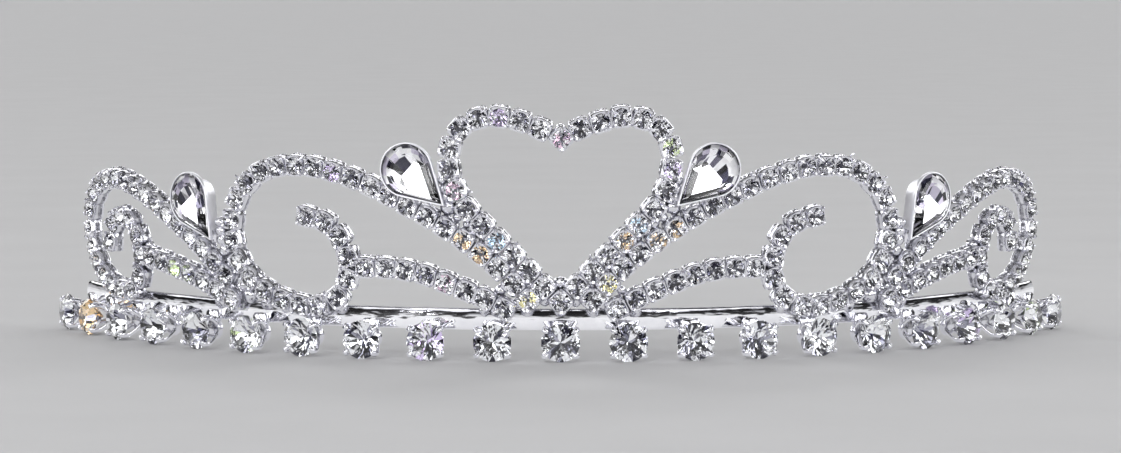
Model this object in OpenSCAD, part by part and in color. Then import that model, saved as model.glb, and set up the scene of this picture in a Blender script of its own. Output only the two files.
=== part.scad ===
// Rhinestone tiara that stands on its row of large round stones.
// Millimetres, Z up. The middle of the front faces -Y and +X is to the right.
// A place on the wall of the tiara is given as [along, height]: the distance along
// the round wall from the middle of the front, and the height above the surface
// that the tiara stands on. The left side mirrors the right side.

/* [Head band] */
// Outside radius of the band, which sets the head size
band_r = 73; // [70:0.5:78]
// Height of the band strip
band_h = 2.9; // [2.4:0.1:3.2]
// Thickness of the band strip
band_t = 1; // [0.8:0.1:1.6]
// Underside of the band above the surface that the tiara stands on
band_z = 3.9; // [3.7:0.1:4.3]
// Angle from the middle of the front to each end of the band
band_half_turn = 70.4; // [70:0.1:74]

/* [Large round stones] */
// Number of large stones in the row under the band
base_count = 21; // [11:2:21]
// Angle between neighbouring large stones
base_step = 6.8; // [6.6:0.05:6.9]
// Diameter of a large stone
base_stone_d = 5.2; // [4.8:0.1:5.4]
// Width of a claw of a large stone's setting
base_claw_w = 0.7; // [0.5:0.05:0.9]

/* [Cup chains] */
// Distance between neighbouring small stones along a chain
chain_pitch = 2.95; // [2.9:0.05:3.1]
// Width of a small cup across its chain
cup_w = 2.95; // [2.7:0.05:3]
// Length of a small cup along its chain
cup_l = 2.65; // [2.6:0.05:2.75]
// Diameter of a small stone
chain_stone_d = 2.4; // [2.2:0.05:2.45]

/* [Pear stones] */
// Radius of a pear stone's round end
pear_r = 3.45; // [3.2:0.05:3.5]
// Distance from the middle of the round end to the tip
pear_tip = 6.7; // [6.4:0.1:6.9]
// Thickness of the metal rim around a pear stone
pear_rim = 0.22; // [0.2:0.01:0.25]

/* [Hidden] */

silver = [0.82, 0.82, 0.86];
crystal = [0.9, 0.94, 1];
round_fn = 96;
curve_steps = 12;

// How far a setting sinks into the band that it is soldered to
sunk = 0.3;
// Clear space between a stone and its setting
stone_gap = 0.05;
// Height of the tool that cuts a stone's pocket, more than any setting is high
pocket_h = 4;

// Small stone and cup: heights are measured outwards from the band's outside face,
// and the table's width is a share of the stone's
small_facets = 8;
chain_pavilion = 1.05;
chain_crown = 0.5;
chain_table = 0.56;
chain_seat = 0.4;
chain_girdle = chain_seat + chain_pavilion;
cup_lip = 0.12;
cup_rim = chain_girdle + cup_lip;
chain_flats = chain_stone_d * cos(180 / small_facets) + 2 * stone_gap;
link_w = 1.1;
link_top = 0.35;
// Radius at which the distance along the wall is measured
chain_r = band_r + chain_girdle;

// Large stone: the table and the ring of corners between the table and the girdle
// are shares of the stone's radius and of its crown's height
large_facets = 16;
base_pavilion = 2.1;
base_girdle_h = 0.15;
base_crown = 1;
base_table = 0.55;
base_ring = 0.8;
base_ring_h = 0.55;
base_seat = 1.3;
base_girdle = base_seat + base_pavilion;
// The tiara stands on the lowest facet of each large stone
base_z = base_stone_d / 2 * cos(180 / large_facets);

// Claw setting of a large stone: a foot and a tab on the band, and four claws
base_foot_d = 3;
base_foot_h = 0.5;
base_tab_w = 2.4;
// The claws stand at this angle above and below the horizontal
base_claw_angle = 40;
// A claw's foot is this far from the stone's axis, on its inner and its outer side
claw_foot_in = 0.6;
claw_foot_out = 1.4;
claw_foot_z = 0.1;
// The claw widens from its foot up to here below the girdle
claw_bend = 0.5;
claw_knee = 0.55;
// Clear space beside the girdle, and the claw's outside face from the girdle
claw_clear = 0.07;
claw_out = 0.6;
// The tip reaches this far in over the crown, between these heights above the girdle
claw_reach = 0.4;
claw_tip_low = 0.5;
claw_tip_high = 0.85;

// Depth from the round wall's axis to the foremost stone and to the ends of the band
front_depth = band_r + base_girdle + base_girdle_h + base_crown;
back_depth = (band_r - band_t) * cos(band_half_turn);
// The whole tiara is centred between its front and its ends
centre_y = (front_depth + back_depth) / 2;

// Pear stone: each of the crown's two steps moves in by pear_step, and the lower one
// rises by a share of the crown's height
pear_pavilion = 1.5;
pear_girdle_h = 0.2;
pear_crown = 0.9;
pear_step = 0.7;
pear_step_h = 0.6;
pear_culet_x = 0.8;
pear_seat = 0.85;
pear_girdle = pear_seat + pear_pavilion;
pear_arc_steps = 11;

// Bezel of a pear stone: it stands on a foot smaller than the stone, and above the
// waist it flares out over the stones of the chain beside it
pear_foot_in = 0.9;
pear_waist_in = 0.55;
pear_waist = chain_girdle + 0.1;
pear_shoulder = chain_girdle + chain_crown + 0.1;
pear_lip = 0.15;
// Clear space below the stone's lowest point
pear_culet_gap = 0.12;
pear_bezel_h = pear_girdle + pear_girdle_h + pear_lip;

// Centre lines of the cup chains on the right side. Columns: along, height
HEART_LINE = [
    [0, 29.7], [4, 31.5], [8.5, 32.6], [12.5, 31.7], [14.8, 28.7],
    [14.9, 25], [13.1, 21], [9.2, 16.9], [4.6, 12.3], [0, 7.9]];
FRONT_LINE = [
    [4.2, 8.1], [8.1, 12.2], [12, 15.3], [16.8, 18.5], [22.2, 21.3], [28.4, 24],
    [35.2, 25.6], [41.9, 25.1], [46.6, 22.2], [48.5, 17.7], [47.6, 13.3], [44.6, 9.8],
    [39.8, 7.5], [34.2, 6.8], [30.5, 8.7], [29.4, 12.2], [30.4, 15.7], [32.8, 18],
    [35.8, 18.8]];
FRONT_BRANCH_LINE = [[7.5, 7], [11, 8.8], [15, 10.3], [19, 11.6], [23, 12.2], [26.8, 12.3]];
OUTER_LINE = [
    [49.4, 10.1], [52.4, 12.6], [56.8, 15.6], [62, 18.5], [67.9, 21.1], [74.4, 22.6],
    [80.4, 21.8], [84.3, 18.8], [84.9, 14.8], [82.8, 11.3], [79.3, 8.6], [74.7, 7],
    [70.3, 7.3], [68.2, 9.8], [68.3, 13.2], [70.2, 16.2], [73.6, 17.3], [76.5, 16],
    [77, 13.4]];
OUTER_BRANCH_LINE = [[48.3, 7.1], [51.2, 8.3], [54.6, 9.6], [58.2, 10.6], [61.8, 11.4], [65.6, 12]];

// Pear stones on the right side. Columns: along, height, direction of the tip in degrees
PEARS = [[20.5, 25.3, 222], [55.3, 20.5, 231]];

// Soldered joints between chains, each a bar behind two neighbouring cups or a bezel.
// Columns: along and height of one end, along and height of the other end
SOLDER = [
    [4.2, 8.1, 7.5, 7], [49.4, 10.1, 48.3, 7.1], [49.4, 10.1, 46.4, 11.4],
    [17.4, 22.5, 13.6, 22.3], [26.8, 12.3, 29.4, 12.3], [65.6, 12, 68.2, 12],
    [52.6, 17.2, 53, 13.4], [20.8, 23.8, 22.6, 21.6], [56, 18.9, 57.6, 16]];

// A point between b and c on the smooth line through a, b, c and d, with t from 0 to 1
function spline_point(a, b, c, d, t) =
    0.5 * (2 * b + (c - a) * t + (2 * a - 5 * b + 4 * c - d) * t * t
    + (3 * b - a - 3 * c + d) * t * t * t);

// A smooth line through all the points
function smooth(points) = [
    for (i = [0 : len(points) - 2], k = [0 : curve_steps - 1])
        spline_point(
            points[max(i - 1, 0)], points[i], points[i + 1],
            points[min(i + 2, len(points) - 1)], k / curve_steps),
    points[len(points) - 1]];

// Distance travelled along a line at each of its points
function travelled(line) = [
    for (i = 0, total = 0; i < len(line); total = total + (i + 1 < len(line)
        ? norm(line[i + 1] - line[i]) : 0), i = i + 1) total];

// The point at a distance from the start of a line
function point_at(line, lengths, distance) = [
    lookup(distance, [for (i = [0 : len(line) - 1]) [lengths[i], line[i].x]]),
    lookup(distance, [for (i = [0 : len(line) - 1]) [lengths[i], line[i].y]])];

// Evenly spaced places [along, height, direction] from one end of a line to the other
function spread_out(points) =
    let (
        line = smooth(points),
        lengths = travelled(line),
        total = lengths[len(lengths) - 1],
        count = round(total / chain_pitch),
        step = total / count)
    [for (k = [0 : count])
        let (
            here = point_at(line, lengths, k * step),
            ahead = point_at(line, lengths, min(k * step + step / 4, total)),
            behind = point_at(line, lengths, max(k * step - step / 4, 0)))
        [here.x, here.y, atan2(ahead.y - behind.y, ahead.x - behind.x)]];

// Places on the other side of the tiara
function mirrored(places) = [for (p = places) [-p.x, p.y, 180 - p.z]];
function reversed(list) = [for (i = [len(list) - 1 : -1 : 0]) list[i]];
function without_ends(list) = [for (i = [1 : len(list) - 2]) list[i]];

heart_half = spread_out(HEART_LINE);
heart_end = heart_half[len(heart_half) - 1];
// The cups at the notch and at the foot of the heart stand on a corner
heart_notch = [heart_half[0].x, heart_half[0].y, 45];
heart_foot = [heart_end.x, heart_end.y, 45];
heart_right = without_ends(heart_half);
heart_places = concat(
    [heart_notch], heart_right, [heart_foot], reversed(mirrored(heart_right)), [heart_notch]);
front_places = spread_out(FRONT_LINE);
front_branch_places = spread_out(FRONT_BRANCH_LINE);
outer_places = spread_out(OUTER_LINE);
outer_branch_places = spread_out(OUTER_BRANCH_LINE);

right_chains = [front_places, front_branch_places, outer_places, outer_branch_places];
left_chains = [for (chain = right_chains) mirrored(chain)];
all_chains = concat([heart_places], right_chains, left_chains);

// Puts a thing on the band's outside face at an angle from the middle of the front:
// the thing's z points outwards and its y up
module at_angle(angle, height)
    translate([0, centre_y, 0])
        rotate([0, 0, angle])
            translate([0, -band_r, height])
                rotate([90, 0, 0])
                    children();

// The same at a distance along the wall, with the thing's x turned to a direction
module on_wall(along, height, direction = 0)
    at_angle(along / chain_r * 180 / PI, height)
        rotate([0, 0, direction])
            children();

// The same at one of the large stones, which are counted from the left
module at_base_stone(i)
    at_angle((i - (base_count + 1) / 2) * base_step, base_z)
        children();

// Points on a circle, one for each angle, at a height
function ring(radius, angles, height) = [
    for (a = angles) [radius * cos(a), radius * sin(a), height]];

// A round cut stone with its girdle at z = 0: a table, two triangles a side around it
// and one a side below
module small_stone() {
    n = small_facets;
    turn = 360 / n;
    radius = chain_stone_d / 2;
    girdle = ring(radius, [for (i = [0 : n - 1]) (i + 0.5) * turn], 0);
    table = ring(radius * chain_table, [for (i = [0 : n - 1]) i * turn], chain_crown);
    culet = [0, 0, -chain_pavilion];
    polyhedron(
        concat(girdle, table, [culet]),
        concat(
            [[for (i = [n - 1 : -1 : 0]) n + i]],
            [for (i = [0 : n - 1]) [i, n + i, n + (i + 1) % n]],
            [for (i = [0 : n - 1]) [i, n + (i + 1) % n, (i + 1) % n]],
            [for (i = [0 : n - 1]) [i, (i + 1) % n, 2 * n]]));
}

// A large brilliant with the underside of its girdle at z = 0. Its points are, in this
// order, the girdle's low and high rings of n points, the crown's ring and the table
// of half as many, and the culet.
module large_stone() {
    n = large_facets;
    half = n / 2;
    turn = 360 / n;
    radius = base_stone_d / 2;
    all_turns = [for (i = [0 : n - 1]) i * turn];
    even_turns = [for (i = [0 : half - 1]) 2 * i * turn];
    odd_turns = [for (a = even_turns) a + turn];
    middle = 2 * n;
    table = middle + half;
    culet = table + half;
    polyhedron(
        concat(
            ring(radius, all_turns, 0),
            ring(radius, all_turns, base_girdle_h),
            ring(radius * base_ring, odd_turns, base_girdle_h + base_ring_h * base_crown),
            ring(radius * base_table, even_turns, base_girdle_h + base_crown),
            [[0, 0, -base_pavilion]]),
        concat(
            [[for (i = [half - 1 : -1 : 0]) table + i]],
            [for (i = [0 : half - 1]) [middle + i, table + i, table + (i + 1) % half]],
            [for (i = [0 : half - 1])
                [middle + i, table + (i + 1) % half, middle + (i + 1) % half]],
            [for (i = [0 : half - 1]) [n + 2 * i, middle + i, n + 2 * i + 1]],
            [for (i = [0 : half - 1]) [n + 2 * i + 1, middle + i, n + (2 * i + 2) % n]],
            [for (i = [0 : half - 1])
                [middle + i, middle + (i + 1) % half, n + (2 * i + 2) % n]],
            [for (i = [0 : n - 1]) [i, n + i, n + (i + 1) % n]],
            [for (i = [0 : n - 1]) [i, n + (i + 1) % n, (i + 1) % n]],
            [for (i = [0 : n - 1]) [i, (i + 1) % n, culet]]));
}

// Outline of a pear whose tip points along x, grown outwards all round
function pear_outline(grow) =
    let (
        radius = pear_r + grow,
        tip = pear_tip * radius / pear_r,
        start = acos(pear_r / pear_tip),
        sweep = 360 - 2 * start)
    concat(
        [for (i = [0 : pear_arc_steps]) let (a = start + sweep * i / pear_arc_steps)
            [radius * cos(a), radius * sin(a)]],
        [[tip, 0]]);

// An outline at a height
function lifted(outline, height) = [for (p = outline) [p.x, p.y, height]];

// A step-cut pear with the underside of its girdle at z = 0
module pear_stone() {
    n = pear_arc_steps + 2;
    rings = [
        lifted(pear_outline(0), 0),
        lifted(pear_outline(0), pear_girdle_h),
        lifted(pear_outline(-pear_step), pear_girdle_h + pear_step_h * pear_crown),
        lifted(pear_outline(-2 * pear_step), pear_girdle_h + pear_crown)];
    culet = [pear_culet_x, 0, -pear_pavilion];
    polyhedron(
        concat(rings[0], rings[1], rings[2], rings[3], [culet]),
        concat(
            [[for (i = [n - 1 : -1 : 0]) 3 * n + i]],
            [for (r = [0 : 2], i = [0 : n - 1]) [r * n + i, (r + 1) * n + i, r * n + (i + 1) % n]],
            [for (r = [0 : 2], i = [0 : n - 1])
                [(r + 1) * n + i, (r + 1) * n + (i + 1) % n, r * n + (i + 1) % n]],
            [for (i = [0 : n - 1]) [i, (i + 1) % n, 4 * n]]));
}

module band()
    translate([0, centre_y, 0])
        rotate([0, 0, -90 - band_half_turn])
            rotate_extrude(angle = 2 * band_half_turn, $fn = round_fn)
                translate([band_r - band_t, band_z])
                    square([band_t, band_h]);

// A square cup, solid until the stone's pocket is cut into it
module cup()
    translate([-cup_l / 2, -cup_w / 2, -sunk])
        cube([cup_l, cup_w, cup_rim + sunk]);

module cup_pocket()
    translate([0, 0, chain_seat - stone_gap])
        rotate([0, 0, 180 / small_facets])
            cylinder(
                d = chain_flats / cos(180 / small_facets), h = pocket_h, $fn = small_facets);

// A bar that joins the backs of two neighbouring cups
module link(from, to) {
    middle = (from + to) / 2;
    across = [to.x - from.x, to.y - from.y];
    on_wall(middle.x, middle.y, atan2(across.y, across.x))
        translate([-norm(across) / 2, -link_w / 2, -sunk])
            cube([norm(across), link_w, link_top + sunk]);
}

module chain(places) {
    for (p = places)
        on_wall(p.x, p.y, p.z) cup();
    for (i = [1 : len(places) - 1])
        link(places[i - 1], places[i]);
}

module chain_pockets(places)
    for (p = places)
        on_wall(p.x, p.y, p.z) cup_pocket();

module chain_stones(places)
    for (p = places)
        on_wall(p.x, p.y, p.z)
            translate([0, 0, chain_girdle])
                small_stone();

// Side view of one claw: it rises under the stone, passes the girdle and folds over the crown
module claw() {
    girdle_r = base_stone_d / 2;
    inside = girdle_r + claw_clear;
    outside = girdle_r + claw_out;
    tip = girdle_r - claw_reach;
    shoulder = base_girdle + base_girdle_h;
    translate([0, base_claw_w / 2, 0])
        rotate([90, 0, 0])
            linear_extrude(base_claw_w)
                polygon([
                    [claw_foot_in, claw_foot_z],
                    [claw_foot_out, claw_foot_z],
                    [outside, base_girdle - claw_bend],
                    [outside, shoulder + claw_bend / 2],
                    [inside, shoulder + claw_tip_high],
                    [tip, shoulder + claw_tip_high],
                    [tip, shoulder + claw_tip_low],
                    [inside, shoulder + claw_clear],
                    [inside, base_girdle - 2 * claw_clear],
                    [(claw_foot_in + claw_foot_out) / 2, base_seat + claw_knee]]);
}

// An open setting with four claws, held to the band by a tab behind the stone
module base_setting() {
    translate([0, 0, -sunk])
        cylinder(d = base_foot_d, h = base_foot_h + sunk, $fn = round_fn);
    translate([-base_tab_w / 2, 0, -sunk])
        cube([base_tab_w, base_stone_d / 2, base_foot_h + sunk]);
    for (side = [0, 180], tilt = [-base_claw_angle, base_claw_angle])
        rotate([0, 0, side + tilt])
            claw();
}

// A closed solid through outlines of the same number of points, from the lowest up
module loft(rings) {
    n = len(rings[0]);
    last = len(rings) - 1;
    polyhedron(
        [for (outline = rings, p = outline) p],
        concat(
            [[for (i = [0 : n - 1]) i]],
            [[for (i = [n - 1 : -1 : 0]) last * n + i]],
            [for (r = [0 : last - 1], i = [0 : n - 1])
                [r * n + i, (r + 1) * n + i, r * n + (i + 1) % n]],
            [for (r = [0 : last - 1], i = [0 : n - 1])
                [(r + 1) * n + i, (r + 1) * n + (i + 1) % n, r * n + (i + 1) % n]]));
}

module pear_bezel()
    loft([
        lifted(pear_outline(-pear_foot_in), -sunk),
        lifted(pear_outline(-pear_waist_in), pear_waist),
        lifted(pear_outline(pear_rim), pear_shoulder),
        lifted(pear_outline(pear_rim), pear_bezel_h)]);

// The pear's own shape with clear space around it, open at the top
module pear_pocket() {
    n = pear_arc_steps + 2;
    outline = pear_outline(stone_gap);
    girdle = pear_girdle - stone_gap;
    culet = [pear_culet_x, 0, pear_seat - pear_culet_gap];
    polyhedron(
        concat(lifted(outline, girdle), lifted(outline, girdle + pocket_h), [culet]),
        concat(
            [[for (i = [n - 1 : -1 : 0]) n + i]],
            [for (i = [0 : n - 1]) [i, n + i, (i + 1) % n]],
            [for (i = [0 : n - 1]) [n + i, n + (i + 1) % n, (i + 1) % n]],
            [for (i = [0 : n - 1]) [i, (i + 1) % n, 2 * n]]));
}

// Side is 1 on the right and -1 on the left
module on_pear_places(side)
    for (p = PEARS)
        on_wall(side * p.x, p.y, side > 0 ? p.z : 180 - p.z)
            children();

// The soldered metal without the pears' bezels
module chains_on_band()
    difference() {
        union() {
            band();
            for (i = [1 : base_count])
                at_base_stone(i) base_setting();
            for (places = all_chains)
                chain(places);
            for (side = [-1, 1], s = SOLDER)
                link([side * s[0], s[1]], [side * s[2], s[3]]);
        }
        for (places = all_chains)
            chain_pockets(places);
    }

// All the soldered metal
module frame() color(silver)
    difference() {
        union() {
            chains_on_band();
            for (side = [-1, 1])
                on_pear_places(side) pear_bezel();
        }
        for (side = [-1, 1])
            on_pear_places(side) pear_pocket();
    }

module base_stone(i) color(crystal)
    at_base_stone(i)
        translate([0, 0, base_girdle])
            rotate([0, 0, 180 / large_facets])
                large_stone();

module pear(i, side) color(crystal)
    on_wall(side * PEARS[i].x, PEARS[i].y, side > 0 ? PEARS[i].z : 180 - PEARS[i].z)
        translate([0, 0, pear_girdle])
            pear_stone();

// The heart's list of places ends where it starts, so its last place takes no stone
module heart_stones() color(crystal)
    chain_stones([for (i = [0 : len(heart_places) - 2]) heart_places[i]]);

module scroll_stones(chains) color(crystal)
    for (places = chains)
        chain_stones(places);

frame();
for (i = [1 : base_count])
    base_stone(i);
pear(0, -1);  // pear_front_left
pear(0, 1);  // pear_front_right
pear(1, -1);  // pear_outer_left
pear(1, 1);  // pear_outer_right
heart_stones();
scroll_stones([left_chains[0], left_chains[1]]);  // front_stones_left
scroll_stones([right_chains[0], right_chains[1]]);  // front_stones_right
scroll_stones([left_chains[2], left_chains[3]]);  // outer_stones_left
scroll_stones([right_chains[2], right_chains[3]]);  // outer_stones_right
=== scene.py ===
"""Looks of the rhinestone tiara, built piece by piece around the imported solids.

Lengths are in millimetres until a mesh is made, and angles are in degrees. A place on
the wall of the tiara is (along, height, direction): the distance along the round wall
from the middle of the front, the height above the floor, and the direction of a chain.
"""

import math
import random

import bpy
from mathutils import Matrix, Vector


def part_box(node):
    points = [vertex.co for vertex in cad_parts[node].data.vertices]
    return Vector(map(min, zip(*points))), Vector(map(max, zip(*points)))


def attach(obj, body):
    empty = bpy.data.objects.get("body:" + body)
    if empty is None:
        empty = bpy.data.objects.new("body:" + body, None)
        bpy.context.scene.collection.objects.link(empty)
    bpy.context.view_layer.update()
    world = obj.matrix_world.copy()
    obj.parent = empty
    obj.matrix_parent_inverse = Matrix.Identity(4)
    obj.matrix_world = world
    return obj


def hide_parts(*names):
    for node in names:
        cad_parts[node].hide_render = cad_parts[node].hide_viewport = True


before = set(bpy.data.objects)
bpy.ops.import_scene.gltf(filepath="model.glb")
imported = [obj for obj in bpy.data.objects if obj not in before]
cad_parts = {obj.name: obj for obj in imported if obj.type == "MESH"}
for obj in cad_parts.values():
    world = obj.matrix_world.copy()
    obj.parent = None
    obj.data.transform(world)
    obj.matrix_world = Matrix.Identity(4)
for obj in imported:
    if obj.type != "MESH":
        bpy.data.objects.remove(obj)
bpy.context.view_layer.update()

MM = 0.001

# Head band
BAND_R = 73.0
BAND_H = 2.9
BAND_T = 1.0
BAND_Z = 3.9
BAND_HALF_TURN = 70.4
# How far behind the band's outside face the backs of settings, cups and rims lie
SUNK = 0.3

# Large round stones, with heights measured outwards from the band's outside face
BASE_COUNT = 21
BASE_STEP = 6.8
BASE_STONE_R = 2.6
BASE_FACETS = 16
BASE_Z = BASE_STONE_R * math.cos(math.pi / BASE_FACETS)
BASE_PAVILION = 2.1
BASE_CROWN = 1.0
BASE_GIRDLE_H = 0.15
BASE_GIRDLE = 3.4
BASE_TABLE_OUT = BASE_GIRDLE + BASE_GIRDLE_H + BASE_CROWN
CLAW_ANGLE = 40.0

# Cup chains
CHAIN_PITCH = 2.95
CUP_W = 2.95
CUP_L = 2.88
CHAIN_STONE_R = 1.24
CHAIN_PAVILION = 1.05
CHAIN_CROWN = 0.5
CHAIN_GIRDLE = 1.45
CUP_RIM = 1.57
# Radius of the small stones' girdles, where distances along the wall are measured
CHAIN_R = BAND_R + CHAIN_GIRDLE
CURVE_STEPS = 12

# Pear stones
PEAR_R = 3.45
PEAR_TIP = 6.7
PEAR_RIM = 0.22
PEAR_GIRDLE_H = 0.2
PEAR_CROWN = 0.9
PEAR_GIRDLE = 2.35
PEAR_FOOT_IN = 0.9
PEAR_WAIST_IN = 0.55
PEAR_WAIST = 1.55
PEAR_SHOULDER = 2.05
PEAR_BEZEL_H = 2.7

# The wall's axis, from the table of the middle stone, which is the foremost point
CENTRE_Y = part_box("base_stone_11")[0].y / MM + BAND_R + BASE_TABLE_OUT

# Centre lines of the cup chains on the right side: along, height
HEART_LINE = [
    (0, 29.7), (4, 31.5), (8.5, 32.6), (12.5, 31.7), (14.8, 28.7),
    (14.9, 25), (13.1, 21), (9.2, 16.9), (4.6, 12.3), (0, 7.9)]
FRONT_LINE = [
    (4.2, 8.1), (8.1, 12.2), (12, 15.3), (16.8, 18.5), (22.2, 21.3), (28.4, 24),
    (35.2, 25.6), (41.9, 25.1), (46.6, 22.2), (48.5, 17.7), (47.6, 13.3), (44.6, 9.8),
    (39.8, 7.5), (34.2, 6.8), (30.5, 8.7), (29.4, 12.2), (30.4, 15.7), (32.8, 18),
    (35.8, 18.8)]
FRONT_BRANCH_LINE = [(7.5, 7), (11, 8.8), (15, 10.3), (19, 11.6), (23, 12.2), (26.8, 12.3)]
OUTER_LINE = [
    (49.4, 10.1), (52.4, 12.6), (56.8, 15.6), (62, 18.5), (67.9, 21.1), (74.4, 22.6),
    (80.4, 21.8), (84.3, 18.8), (84.9, 14.8), (82.8, 11.3), (79.3, 8.6), (74.7, 7),
    (70.3, 7.3), (68.2, 9.8), (68.3, 13.2), (70.2, 16.2), (73.6, 17.3), (76.5, 16),
    (77, 13.4)]
OUTER_BRANCH_LINE = [
    (48.3, 7.1), (51.2, 8.3), (54.6, 9.6), (58.2, 10.6), (61.8, 11.4), (65.6, 12)]

# Pear stones on the right side: along, height, direction of the tip
PEARS = {"front": (20.5, 25.3, 222), "outer": (55.3, 20.5, 231)}

# Soldered joints between chains: one end and the other end
SOLDER = [
    ((4.2, 8.1), (7.5, 7)), ((49.4, 10.1), (48.3, 7.1)), ((49.4, 10.1), (46.4, 11.4)),
    ((17.4, 22.5), (13.6, 22.3)), ((26.8, 12.3), (29.4, 12.3)), ((65.6, 12), (68.2, 12)),
    ((52.6, 17.2), (53, 13.4)), ((20.8, 23.8), (22.6, 21.6)), ((56, 18.9), (57.6, 16))]


# Lines and places

def spline_point(a, b, c, d, t):
    """A point between b and c on the smooth line through a, b, c and d, with t from 0 to 1."""
    return tuple(
        0.5 * (2 * q + (r - p) * t + (2 * p - 5 * q + 4 * r - s) * t * t
               + (3 * q - p - 3 * r + s) * t ** 3)
        for p, q, r, s in zip(a, b, c, d))


def smooth(points):
    """A smooth line through all the points, with CURVE_STEPS steps between neighbours."""
    last = len(points) - 1
    line = [
        spline_point(points[max(i - 1, 0)], points[i], points[i + 1],
                     points[min(i + 2, last)], k / CURVE_STEPS)
        for i in range(last) for k in range(CURVE_STEPS)]
    return line + [points[last]]


def point_at(line, lengths, distance):
    """The point at a distance from the start of a line."""
    distance = min(max(distance, 0), lengths[-1])
    i = next(k for k in range(1, len(line)) if lengths[k] >= distance or k == len(line) - 1)
    t = (distance - lengths[i - 1]) / (lengths[i] - lengths[i - 1])
    return [p + (q - p) * t for p, q in zip(line[i - 1], line[i])]


def spread_out(points):
    """Evenly spaced places (along, height, direction) from one end of a line to the other."""
    line = smooth(points)
    lengths = [0]
    for p, q in zip(line, line[1:]):
        lengths.append(lengths[-1] + math.dist(p, q))
    count = round(lengths[-1] / CHAIN_PITCH)
    step = lengths[-1] / count
    places = []
    for k in range(count + 1):
        here = point_at(line, lengths, k * step)
        ahead = point_at(line, lengths, k * step + step / 4)
        behind = point_at(line, lengths, k * step - step / 4)
        turn = math.degrees(math.atan2(ahead[1] - behind[1], ahead[0] - behind[0]))
        places.append((here[0], here[1], turn))
    return places


def mirrored(places):
    return [(-along, height, 180 - turn) for along, height, turn in places]


def heart_places():
    """The heart's cups in order, from its notch down the right side and up the left."""
    half = spread_out(HEART_LINE)
    right = half[1:-1]
    notch = (half[0][0], half[0][1], 45)
    foot = (half[-1][0], half[-1][1], 45)
    return [notch] + right + [foot] + mirrored(right)[::-1]


def chains():
    """Every chain by name. The heart's list closes on itself."""
    right = {
        "front": [spread_out(FRONT_LINE), spread_out(FRONT_BRANCH_LINE)],
        "outer": [spread_out(OUTER_LINE), spread_out(OUTER_BRANCH_LINE)]}
    found = {"heart": [heart_places()]}
    for name, parts in right.items():
        found[name + "_right"] = parts
        found[name + "_left"] = [mirrored(part) for part in parts]
    return found


def spin(angle, axis):
    return Matrix.Rotation(math.radians(angle), 4, axis)


def at_angle(angle, height):
    """A place on the band's outside face: its z points outwards and its y up."""
    return (Matrix.Translation((0, CENTRE_Y, 0)) @ spin(angle, "Z")
            @ Matrix.Translation((0, -BAND_R, height)) @ spin(90, "X"))


def on_wall(along, height, direction=0):
    return at_angle(math.degrees(along / CHAIN_R), height) @ spin(direction, "Z")


def at_base_stone(i):
    return at_angle((i - (BASE_COUNT + 1) / 2) * BASE_STEP, BASE_Z)


# Meshes

WIRE_SIDES = 6
# Main facets around a brilliant
MAIN_FACETS = 8


def faces_between(first, second, n):
    """Faces from one ring of n points to another, by the numbers of their first points."""
    return [[first + i, first + (i + 1) % n, second + (i + 1) % n, second + i]
            for i in range(n)]


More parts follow.
